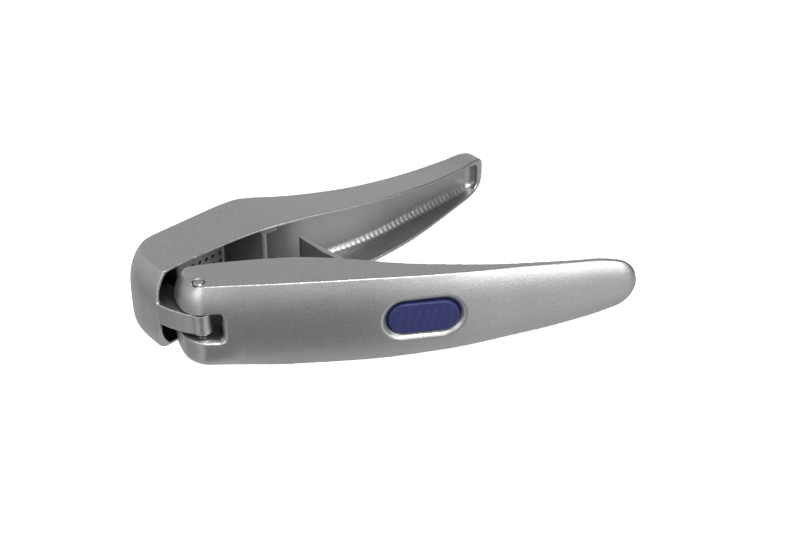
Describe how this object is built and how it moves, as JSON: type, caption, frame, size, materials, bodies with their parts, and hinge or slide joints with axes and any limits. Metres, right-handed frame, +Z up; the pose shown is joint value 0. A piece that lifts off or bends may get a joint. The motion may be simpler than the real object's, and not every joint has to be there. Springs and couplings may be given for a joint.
{
  "type": "garlic press",
  "caption": "Hinged hand press with a perforated hopper arm, a press arm with a swing-out studded plunger, and a cleaning tool kept in the handle.",
  "frame": {"origin": "middle of the open press in plan, on the surface that it lies on", "axes": "+X from the hinge towards the tip of the press arm, +Y from the press arm's side of the open V towards the hopper arm, +Z up, along the hinge pin"},
  "size_m": [0.1942, 0.1184, 0.036],
  "materials": {
    "cast_aluminium": "satin, bead-blasted casting",
    "steel": "turned pin",
    "blue_plastic": "moulded, satin"
  },
  "bodies": {
    "press_arm": {"press_arm": "cast_aluminium", "hinge_pin": "steel", "plunger_pin": "steel"},
    "hopper_arm": {"hopper_arm": "cast_aluminium"},
    "plunger": {"plunger": "cast_aluminium"},
    "cleaning_tool": {"cleaning_tool": "blue_plastic"}
  },
  "joints": [
    {"name": "arm_hinge", "type": "hinge", "parent": "press_arm", "child": "hopper_arm", "pos_m": [-0.07137, -0.04781, 0.018], "axis": [0, 0, 1], "range_deg": [-37, 70]},
    {"name": "plunger_hinge", "type": "hinge", "parent": "press_arm", "child": "plunger", "pos_m": [-0.04287, -0.04581, 0.018], "axis": [0, 0, 1], "range_deg": [-25, 55]},
    {"name": "tool_slide", "type": "slide", "parent": "press_arm", "child": "cleaning_tool", "axis": [0, 1, 0], "range_m": [0, 0.005]}
  ]
}
